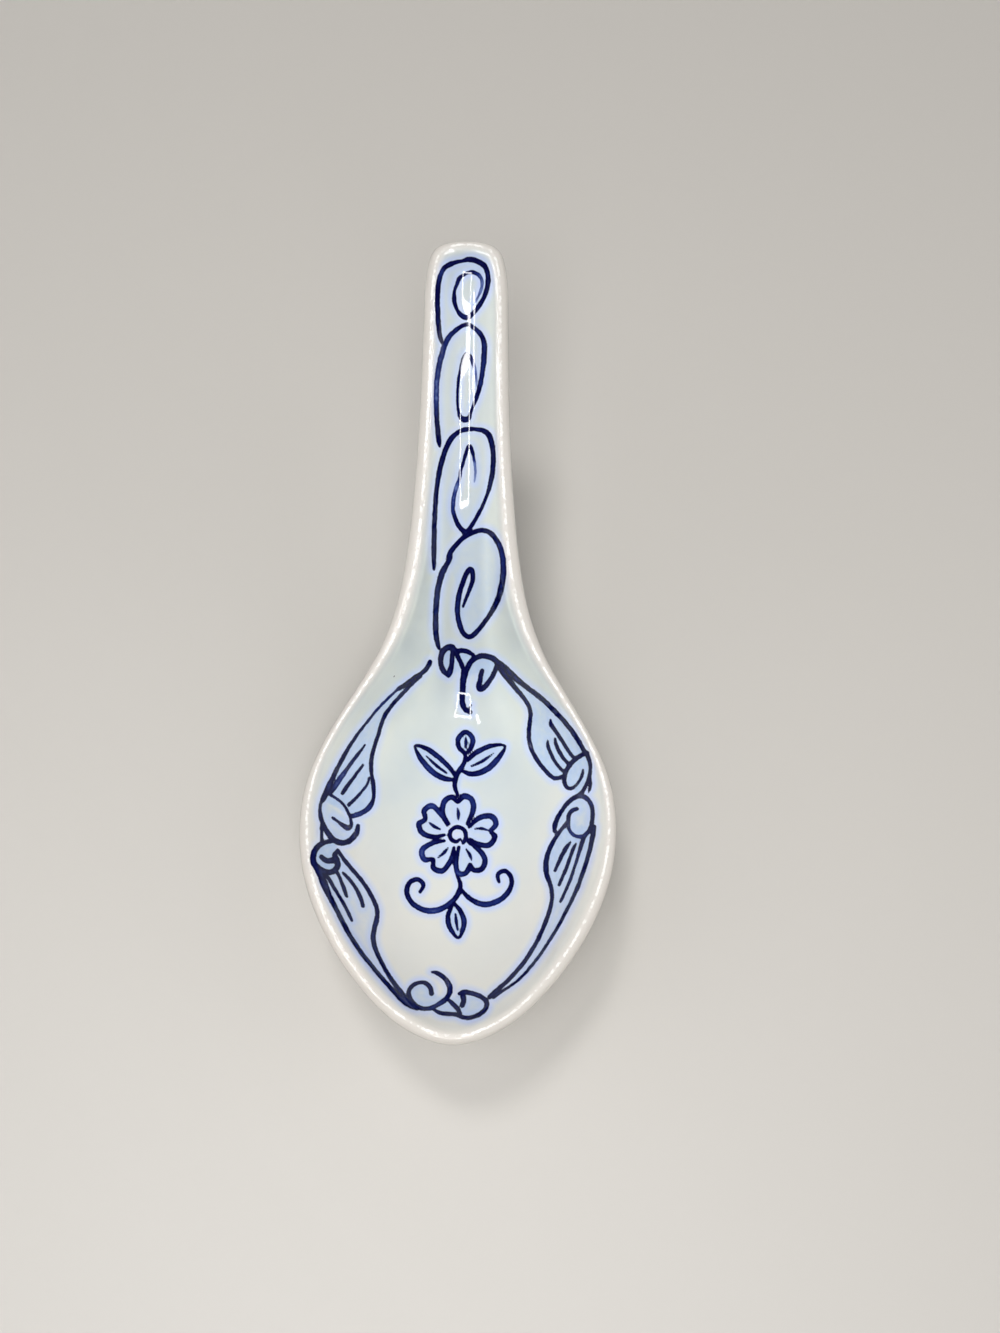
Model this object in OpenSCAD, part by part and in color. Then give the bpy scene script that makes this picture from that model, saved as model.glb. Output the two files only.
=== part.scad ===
// Porcelain soup spoon with a deep pointed bowl, a channelled handle and a low oval foot ring.
// The bowl points along -Y, the handle rises along +Y, and the foot ring stands on z = 0.
// Every skin is a sheet over the table plane: a rim line less a depth that fades towards the edge.

/* [Whole spoon] */
// Length along the table from the bowl's tip to the handle's end
spoon_length = 114; // [95:1:140]
// Height that the handle's end rises above the rim of the bowl
handle_rise = 28; // [20:0.5:40]

/* [Bowl] */
// Width over the rim where the bowl is widest
bowl_width = 47; // [40:0.5:56]
// Depth inside the bowl, from the inner edge of the rim down to the floor
bowl_depth = 15; // [11:0.5:20]
// Thickness of the porcelain under the floor
base_thickness = 3.4; // [2.5:0.1:5]
// How much of the round underside is trimmed flat to carry the foot ring
underside_trim = 2.6; // [2.2:0.1:3]

/* [Handle] */
// Width over the rim near the handle's end
handle_width = 12.8; // [10:0.2:18]
// Depth of the channel along the handle
channel_depth = 2.4; // [1.5:0.1:3.5]
// Thickness of the handle under the middle of the channel
handle_thickness = 4; // [3:0.1:6]

/* [Rim] */
// Thickness of the rolled rim
rim_thickness = 2.5; // [2:0.1:3.2]
// Angle that the wall leans outward from upright at the rim
wall_lean = 30; // [15:1:40]

/* [Foot ring] */
// Length of the oval foot ring
foot_length = 28.5; // [24:0.5:30]
// Width of the oval foot ring
foot_width = 18.5; // [14:0.5:19]
// Width of the band that touches the table
foot_band = 2.2; // [1.5:0.1:3]
// Height of the foot ring
foot_height = 1.8; // [1:0.1:3]

/* [Hidden] */

// Stations run from the bowl's tip, 0, to the handle's end, 1, closer together at both ends.
// Each table holds the control values of a smooth curve over equally spaced stations.
bowl_half_width_shares =
    [0, 0.15, 0.335, 0.505, 0.68, 0.84, 0.965, 1.015, 0.975, 0.71, 0.25, 0.05, 0, 0, 0, 0, 0, 0, 0, 0, 0];
handle_half_width_shares =
    [0, 0, 0, 0, 0, 0, 0, 0, 0, 0.25, 0.95, 1.25, 1.25, 1.13, 1.06, 1.03, 1, 1, 0.9, 0.74, 0];
rise_shares =
    [0.045, 0.04, 0.025, 0.01, 0, 0, 0, 0.005, 0.03, 0.085, 0.18,
     0.3, 0.43, 0.555, 0.67, 0.77, 0.85, 0.915, 0.965, 0.99, 1];
inside_depth_shares =
    [-0.0225, 0.045, 0.18, 0.38, 0.61, 0.81, 0.94, 1, 1.015, 1.04,
     1.14, 0.6, 0.16, 0.01, 0, 0, 0, 0, 0, 0, 0];
underside_depth_shares =
    [-0.0225, 0.045, 0.17, 0.37, 0.63, 0.87, 0.99, 1, 1.02, 1.1,
     0.96, 0.57, 0.23, 0.05, 0.01, 0, 0, 0, 0, 0, 0];
channel_depth_shares =
    [0, 0, 0, 0, 0, 0, 0, 0, 0, 0.05, 0.3, 0.6, 0.95, 1.1, 1.03, 1, 1, 1, 0.92, 0.4, -0.2];
// Power of the cross-section's curve: higher is a flatter floor with a steeper wall
bowl_roundness = 2.5;
channel_roundness = 2.3;

// Places of the mesh's rings from a skin's middle line to its edge. On the underside they lie
// close together where the round belly meets the flat seat of the foot ring.
inside_ring_shares = [0.16, 0.31, 0.46, 0.59, 0.71, 0.81, 0.89, 0.95, 0.985, 1];
underside_ring_shares = [0.2, 0.34, 0.41, 0.45, 0.49, 0.59, 0.72, 0.85, 0.95, 1];
skin_rings = len(inside_ring_shares);
// Counts of the mesh: steps along the bowl and along the handle, and steps over the rolled rim.
// The bowl and the handle meet on the flat joint at the middle station.
half_steps = 40;
rim_steps = 6;
column_size = 2 * skin_rings + rim_steps - 1;
// Length of the line that the rings of a skin close in on, as a share of the skin's length
spine_share = 0.84;
foot_sides = 96;
// Middle of the foot ring as a share of the half length
foot_place_share = -0.38;

rim_radius = rim_thickness / 2;
edge_drop = rim_radius * (1 - sin(wall_lean));
rim_height = foot_height + base_thickness + bowl_depth + edge_drop;
inner_inset = rim_radius * (1 + cos(wall_lean));
outer_inset = rim_radius * (1 - cos(wall_lean));
edge_step = 2 * rim_radius * sin(wall_lean);
outer_bowl_depth = bowl_depth + base_thickness + underside_trim - edge_step;
outer_handle_depth = channel_depth + handle_thickness - edge_step;

// Cubic B-spline through a table at station u. Past either end the table is mirrored, with sign -1
// for widths, which pass through zero there, and 1 for heights.
function control(table, i, sign) =
    let (last = len(table) - 1)
    i < 0 ? sign * table[-i] : i > last ? sign * table[2 * last - i] : table[i];
function curve(table, u, sign) =
    let (last = len(table) - 1,
         i = min(floor(u * last), last - 1),
         t = u * last - i)
    ((1 - t) ^ 3 * control(table, i - 1, sign)
     + (3 * t ^ 3 - 6 * t ^ 2 + 4) * control(table, i, sign)
     + (-3 * t ^ 3 + 3 * t ^ 2 + 3 * t + 1) * control(table, i + 1, sign)
     + t ^ 3 * control(table, i + 2, sign)) / 6;

// Station at a place y along a skin of the given inset, and the skin's half width there
function half_length(inset) = spoon_length / 2 - inset;
function station(y, inset) = acos(max(-1, min(1, -y / half_length(inset)))) / 180;
function half_width(u, inset) =
    (bowl_width / 2 - inset) * curve(bowl_half_width_shares, u, -1)
    + (handle_width / 2 - inset) * curve(handle_half_width_shares, u, -1);
function crest(u) = rim_height + handle_rise * curve(rise_shares, u, 1);
function roundness(u) =
    channel_roundness + (bowl_roundness - channel_roundness) * curve(inside_depth_shares, u, 1);

// Height of a skin at a place in plan: the rim line less the depth, which fades to zero at the edge
function skin_z(x, y, inset, drop, bowl_shares, deep_bowl, deep_handle) =
    let (u = station(y, inset),
         w = half_width(u, inset),
         q = w > 0 ? min(1, abs(x) / w) : 1,
         depth = deep_bowl * curve(bowl_shares, u, 1)
                 + deep_handle * curve(channel_depth_shares, u, 1))
    crest(u) - drop - depth * (1 - q ^ roundness(u));
function inner_z(x, y) =
    skin_z(x, y, inner_inset, edge_drop, inside_depth_shares, bowl_depth, channel_depth);
function outer_z(x, y) =
    max(foot_height,
        skin_z(x, y, outer_inset, edge_drop + edge_step, underside_depth_shares,
               outer_bowl_depth, outer_handle_depth));

// Plan point of a skin at station u on one side (-1 or 1): share 0 on the middle line, 1 on the edge
function plan_point(u, side, share, inset) =
    let (edge_y = -half_length(inset) * cos(180 * u),
         spine_y = -half_length(inset) * spine_share * cos(180 * u))
    [side * share * half_width(u, inset), spine_y + share * (edge_y - spine_y)];

function inner_point(u, side, share) =
    let (p = plan_point(u, side, share, inner_inset))
    [p.x, p.y, inner_z(p.x, p.y)];
function outer_point(u, side, share) =
    let (p = plan_point(u, side, share, outer_inset))
    [p.x, p.y, outer_z(p.x, p.y)];
// Rolled rim: half a turn of a circle from the inner edge, over the crest, to the outer edge
function rim_point(u, side, step) =
    let (angle = 180 - wall_lean - 180 * step / rim_steps,
         p = plan_point(u, side, 1, rim_radius * (1 - cos(angle))))
    [p.x, p.y, crest(u) - rim_radius * (1 - sin(angle))];

// One column of points down the wall at station u: inner skin, rim, outer skin
function column(u, side) = concat(
    [for (share = inside_ring_shares) inner_point(u, side, share)],
    [for (step = [1:rim_steps - 1]) rim_point(u, side, step)],
    [for (ring = [skin_rings - 1:-1:0]) outer_point(u, side, underside_ring_shares[ring])]);

// Closed half of the body. Columns run from the joint on one side, round the tip at station tip_u,
// to the joint on the other side, and both middle lines are shared by the two sides.
module half_body(tip_u) {
    stations = [for (step = [0:half_steps]) tip_u + (0.5 - tip_u) * step / half_steps];
    points = concat(
        [for (u = stations) inner_point(u, 0, 0)],
        [for (u = stations) outer_point(u, 0, 0)],
        [for (k = [-half_steps:half_steps]) each column(stations[abs(k)], sign(k))]);
    skins = [for (k = [-half_steps:half_steps - 1], c = [-1:column_size - 1])
        each quad((k < 0) != (2 * c > column_size),
                  at(k, c), at(k, c + 1), at(k + 1, c + 1), at(k + 1, c))];
    joint = [for (k = [-half_steps, half_steps])
        each turned(k > 0, concat(
            [for (c = [-1:skin_rings - 2])
                each quad(false, at(k, c), at(k, column_size - 1 - c),
                          at(k, column_size - 2 - c), at(k, c + 1))],
            [for (c = [skin_rings:skin_rings + rim_steps - 2])
                [at(k, skin_rings - 1), at(k, c + 1), at(k, c)]]))];
    polyhedron(points, turned(tip_u == 0, concat(skins, joint)));
}
// Index of a point: c is -1 on the inner middle line and column_size on the outer one
function at(k, c) =
    c < 0 ? abs(k) :
    c == column_size ? half_steps + 1 + abs(k) :
    2 * (half_steps + 1) + (k + half_steps) * column_size + c;
function quad(mirrored, a, b, c, d) = mirrored ? [[a, b, d], [b, c, d]] : [[a, b, c], [a, c, d]];
function turned(reverse, faces) = reverse ? [for (f = faces) [f[2], f[1], f[0]]] : faces;

module bowl() {
    color("ghostwhite") half_body(0);
}

module handle() {
    color("aliceblue") half_body(1);
}

module oval(length, width) {
    polygon([for (step = [0:foot_sides - 1])
        let (angle = 360 * step / foot_sides)
        [width / 2 * cos(angle), length / 2 * sin(angle)]]);
}

module foot_ring() {
    color("wheat") translate([0, foot_place_share * spoon_length / 2, 0])
        linear_extrude(foot_height) difference() {
            oval(foot_length, foot_width);
            oval(foot_length - 2 * foot_band, foot_width - 2 * foot_band);
        }
}

bowl();
handle();
foot_ring();
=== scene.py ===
"""Porcelain soup spoon: glazed bowl and handle with blue brush painting, on a bare foot ring."""

import math
from types import SimpleNamespace

import bpy
import numpy as np
from mathutils import Matrix, Vector


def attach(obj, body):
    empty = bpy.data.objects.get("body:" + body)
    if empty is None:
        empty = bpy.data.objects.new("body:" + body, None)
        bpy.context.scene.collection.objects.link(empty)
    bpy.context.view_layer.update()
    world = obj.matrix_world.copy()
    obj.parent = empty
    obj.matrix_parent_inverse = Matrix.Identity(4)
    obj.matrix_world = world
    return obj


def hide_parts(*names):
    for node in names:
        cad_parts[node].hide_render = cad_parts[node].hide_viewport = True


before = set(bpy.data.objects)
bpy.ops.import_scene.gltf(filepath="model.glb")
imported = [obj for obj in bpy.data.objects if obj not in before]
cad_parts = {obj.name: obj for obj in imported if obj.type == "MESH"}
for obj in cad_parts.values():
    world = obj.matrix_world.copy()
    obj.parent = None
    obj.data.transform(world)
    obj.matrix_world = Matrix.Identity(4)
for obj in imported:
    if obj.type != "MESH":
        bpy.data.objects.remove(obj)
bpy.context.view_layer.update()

MM = 0.001

# Measures in mm, the same as in the solids' source.
SPOON_LENGTH = 114
HANDLE_RISE = 28
BOWL_WIDTH = 47
BOWL_DEPTH = 15
BASE_THICKNESS = 3.4
UNDERSIDE_TRIM = 2.6
HANDLE_WIDTH = 12.8
CHANNEL_DEPTH = 2.4
HANDLE_THICKNESS = 4
RIM_THICKNESS = 2.5
WALL_LEAN = math.radians(30)
FOOT_LENGTH = 28.5
FOOT_WIDTH = 18.5
FOOT_BAND = 2.2
FOOT_HEIGHT = 1.8
FOOT_PLACE_SHARE = -0.38
SPINE_SHARE = 0.84
BOWL_ROUNDNESS = 2.5
CHANNEL_ROUNDNESS = 2.3

BOWL_HALF_WIDTH = np.array([0, 0.15, 0.335, 0.505, 0.68, 0.84, 0.965, 1.015, 0.975, 0.71, 0.25,
                            0.05, 0, 0, 0, 0, 0, 0, 0, 0, 0])
HANDLE_HALF_WIDTH = np.array([0, 0, 0, 0, 0, 0, 0, 0, 0, 0.25, 0.95, 1.25, 1.25, 1.13, 1.06,
                              1.03, 1, 1, 0.9, 0.74, 0])
RISE = np.array([0.045, 0.04, 0.025, 0.01, 0, 0, 0, 0.005, 0.03, 0.085, 0.18, 0.3, 0.43, 0.555,
                 0.67, 0.77, 0.85, 0.915, 0.965, 0.99, 1])
INSIDE_DEPTH = np.array([-0.0225, 0.045, 0.18, 0.38, 0.61, 0.81, 0.94, 1, 1.015, 1.04, 1.14,
                         0.6, 0.16, 0.01, 0, 0, 0, 0, 0, 0, 0])
UNDERSIDE_DEPTH = np.array([-0.0225, 0.045, 0.17, 0.37, 0.63, 0.87, 0.99, 1, 1.02, 1.1, 0.96,
                            0.57, 0.23, 0.05, 0.01, 0, 0, 0, 0, 0, 0])
CHANNEL = np.array([0, 0, 0, 0, 0, 0, 0, 0, 0, 0.05, 0.3, 0.6, 0.95, 1.1, 1.03, 1, 1, 1, 0.92,
                    0.4, -0.2])

RIM_RADIUS = RIM_THICKNESS / 2
EDGE_DROP = RIM_RADIUS * (1 - math.sin(WALL_LEAN))
RIM_HEIGHT = FOOT_HEIGHT + BASE_THICKNESS + BOWL_DEPTH + EDGE_DROP
INNER_INSET = RIM_RADIUS * (1 + math.cos(WALL_LEAN))
OUTER_INSET = RIM_RADIUS * (1 - math.cos(WALL_LEAN))
EDGE_STEP = 2 * RIM_RADIUS * math.sin(WALL_LEAN)
OUTER_BOWL_DEPTH = BOWL_DEPTH + BASE_THICKNESS + UNDERSIDE_TRIM - EDGE_STEP
OUTER_HANDLE_DEPTH = CHANNEL_DEPTH + HANDLE_THICKNESS - EDGE_STEP

# Counts of the fine mesh, and its smoothing.
BOWL_COLUMNS = 225
HANDLE_COLUMNS = 205
INNER_RINGS = 84
RIM_RINGS = 18
OUTER_RINGS = 44
RINGS = INNER_RINGS + RIM_RINGS + OUTER_RINGS
SKIN_SAMPLES = 220
RIM_SAMPLES = 40
STATION_SAMPLES = 4000
LEAST_SAMPLES = 60
SAMPLE_STEP = 0.1      # mm between the samples that a column is smoothed on
SOFTENING = 0.5        # mm, how far the glaze rounds the creases beside the rim and the seat
TINY = 1e-9            # keeps a division by zero away

# The photograph's camera, in mm and pixels.
VIEW_HEIGHT = math.radians(70)
VIEW_DISTANCE = 240.0
VIEW_TARGET = np.array([5.8436, 8.0297, -3.0])
VIEW_FOCAL = 1401.8    # pixels
VIEW_ROLL = 0.0149
PICTURE_WIDTH, PICTURE_HEIGHT = 1000, 1333
SENSOR = 36.0          # mm
NEAR_CLIP = 0.01       # m
VIEW_BACK = np.array([0, -math.cos(VIEW_HEIGHT), math.sin(VIEW_HEIGHT)])
VIEW_UP = np.array([0, math.sin(VIEW_HEIGHT), math.cos(VIEW_HEIGHT)])


def pixels(points):
    """Places of points (mm) on the photograph, in its pixels."""
    away = points - (VIEW_TARGET + VIEW_BACK * VIEW_DISTANCE)
    depth = -(away @ VIEW_BACK)
    across = away[:, 0] / depth * VIEW_FOCAL
    upward = away @ VIEW_UP / depth * VIEW_FOCAL
    c, s = math.cos(VIEW_ROLL), math.sin(VIEW_ROLL)
    return np.stack([PICTURE_WIDTH / 2 + across * c + upward * s,
                     PICTURE_HEIGHT / 2 + across * s - upward * c], 1)


# The body's skins, as heights over the table plane.
def curve(table, u, sign):
    """Cubic B-spline through a table at stations u, mirrored past both ends."""
    t = np.concatenate([sign * table[1:2], table, sign * table[-2:-1]])
    spans = len(table) - 1
    x = np.clip(u, 0, 1) * spans
    i = np.minimum(x.astype(int), spans - 1)
    f = x - i
    return ((1 - f) ** 3 * t[i] + (3 * f ** 3 - 6 * f ** 2 + 4) * t[i + 1]
            + (-3 * f ** 3 + 3 * f ** 2 + 3 * f + 1) * t[i + 2] + f ** 3 * t[i + 3]) / 6


def half_length(inset):
    return SPOON_LENGTH / 2 - inset


def half_width(u, inset):
    return ((BOWL_WIDTH / 2 - inset) * curve(BOWL_HALF_WIDTH, u, -1)
            + (HANDLE_WIDTH / 2 - inset) * curve(HANDLE_HALF_WIDTH, u, -1))


def crest(u):
    return RIM_HEIGHT + HANDLE_RISE * curve(RISE, u, 1)


def skin_z(x, y, inset, drop, bowl_shares, deep_bowl, deep_handle):
    u = np.arccos(np.clip(-y / half_length(inset), -1, 1)) / math.pi
    w = half_width(u, inset)
    q = np.where(w > TINY, np.minimum(1, np.abs(x) / np.maximum(w, TINY)), 1)
    depth = deep_bowl * curve(bowl_shares, u, 1) + deep_handle * curve(CHANNEL, u, 1)
    power = CHANNEL_ROUNDNESS + (BOWL_ROUNDNESS - CHANNEL_ROUNDNESS) * curve(INSIDE_DEPTH, u, 1)
    return crest(u) - drop - depth * (1 - q ** power)


def inner_z(x, y):
    return skin_z(x, y, INNER_INSET, EDGE_DROP, INSIDE_DEPTH, BOWL_DEPTH, CHANNEL_DEPTH)


def outer_z(x, y):
    return np.maximum(FOOT_HEIGHT, skin_z(x, y, OUTER_INSET, EDGE_DROP + EDGE_STEP, UNDERSIDE_DEPTH,
                                          OUTER_BOWL_DEPTH, OUTER_HANDLE_DEPTH))


def plan_point(u, share, inset):
    edge_y = -half_length(inset) * np.cos(math.pi * u)
    spine_y = edge_y * SPINE_SHARE
    return share * half_width(u, inset), spine_y + share * (edge_y - spine_y)


def column_samples(u):
    """One column down the wall at station u: inner skin, rolled rim, outer skin."""
    rising = np.linspace(0, 1, SKIN_SAMPLES)
    us = np.full(SKIN_SAMPLES, u)
    x, y = plan_point(us, rising, INNER_INSET)
    inner = np.stack([x, y, inner_z(x, y)], 1)
    x, y = plan_point(us, rising[::-1], OUTER_INSET)
    outer = np.stack([x, y, outer_z(x, y)], 1)
    angle = math.pi - WALL_LEAN - math.pi * np.linspace(0, 1, RIM_SAMPLES + 1)
    x, y = plan_point(np.full(RIM_SAMPLES + 1, u), 1.0, RIM_RADIUS * (1 - np.cos(angle)))
    z = crest(np.array([u])) - RIM_RADIUS * (1 - np.sin(angle))
    rim = np.stack([x, y, z], 1)
    return np.concatenate([inner, rim[1:-1], outer])


def softened(line, places):
    """line resampled evenly, its creases rounded, and read at places, shares of its three stretches."""
    steps = np.linalg.norm(np.diff(line, axis=0), axis=1)
    along = np.concatenate([[0], np.cumsum(steps)])
    count = max(LEAST_SAMPLES, int(along[-1] / SAMPLE_STEP))
    even = np.linspace(0, along[-1], count)
    p = np.stack([np.interp(even, along, line[:, i]) for i in range(3)], 1)
    sigma = SOFTENING / (even[1] - even[0])
    reach = int(3 * sigma) + 1
    kernel = np.exp(-0.5 * (np.arange(-reach, reach + 1) / sigma) ** 2)
    kernel /= kernel.sum()
    before = 2 * p[0] - p[reach:0:-1]
    after = 2 * p[-1] - p[-2:-reach - 2:-1]
    padded = np.concatenate([before, p, after])
    p = np.stack([np.convolve(padded[:, i], kernel, "valid") for i in range(3)], 1)
    ends = [0, along[SKIN_SAMPLES - 1], along[SKIN_SAMPLES + RIM_SAMPLES - 1], along[-1]]
    at = np.interp(places, [0, 1, 2, 3], ends)
    return np.stack([np.interp(at, even, p[:, i]) for i in range(3)], 1)


def even_stations(start, end, count):
    """Stations from start to end, evenly spaced along the rim."""
    u = np.linspace(start, end, STATION_SAMPLES)
    x, y = plan_point(u, 1.0, 0)
    line = np.stack([x, y, crest(u)], 1)
    along = np.concatenate([[0], np.cumsum(np.linalg.norm(np.diff(line, axis=0), axis=1))])
    return np.interp(np.linspace(0, along[-1], count + 1), along, u)


PLACES = np.concatenate([np.linspace(0, 1, INNER_RINGS + 1), np.linspace(1, 2, RIM_RINGS + 1)[1:],
                         np.linspace(2, 3, OUTER_RINGS + 1)[1:]])
TIP_TO_JOINT = even_stations(0, 0.5, BOWL_COLUMNS)
JOINT_TO_END = even_stations(0.5, 1, HANDLE_COLUMNS)


def half_grid(stations):
    """Points of one side of the body, [column, ring]."""
    return np.stack([softened(column_samples(u), PLACES) for u in stations])


def vertex_normals(points, quads):
    a, b, c, d = (points[quads[:, i]] for i in range(4))
    face = np.cross(c - a, d - b)
    normals = np.zeros_like(points)
    for i in range(4):
        np.add.at(normals, quads[:, i], face)
    return normals / np.maximum(np.linalg.norm(normals, axis=1), TINY)[:, None]


def body_mesh(stations, tip):
    """Half the body: points, quads, ring numbers, joint face and normals. Column tip closes it."""
    right = half_grid(stations)
    right[tip, :, 0] = 0
    left = right * np.array([-1, 1, 1])
    columns = len(stations)
    right_index = np.arange(columns * (RINGS + 1)).reshape(columns, RINGS + 1)
    left_index = right_index.copy()
    own = np.ones((columns, RINGS + 1), bool)
    own[:, 0] = own[:, -1] = False
    own[tip] = False
    left_index[own] = right_index.size + np.arange(own.sum())
    points = np.concatenate([right.reshape(-1, 3), left[own]])
    rings = np.concatenate([np.tile(np.arange(RINGS + 1), columns), np.nonzero(own)[1]])
    quads = []
    for index, turn in ((right_index, -1), (left_index, 1)):
        q = np.stack([index[:-1, :-1], index[1:, :-1], index[1:, 1:], index[:-1, 1:]], -1)
        quads.append(q.reshape(-1, 4)[:, ::turn])
    quads = np.concatenate(quads)
    joint = columns - 1 if tip == 0 else 0
    loop = np.concatenate([right_index[joint], left_index[joint][-2:0:-1]])
    return SimpleNamespace(points=points, quads=quads, rings=rings, loop=loop if tip == 0 else loop[::-1],
                           normals=vertex_normals(points, quads))


bowl = body_mesh(TIP_TO_JOINT, 0)
handle = body_mesh(JOINT_TO_END, HANDLE_COLUMNS)

# The two pieces meet on one ring of points, where their normals agree, so that no seam shows.
bowl_ring = bowl.loop[::-1]
shared = bowl.normals[bowl_ring] + handle.normals[handle.loop]
shared /= np.linalg.norm(shared, axis=1)[:, None]
bowl.normals[bowl_ring] = shared
handle.normals[handle.loop] = shared

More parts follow.
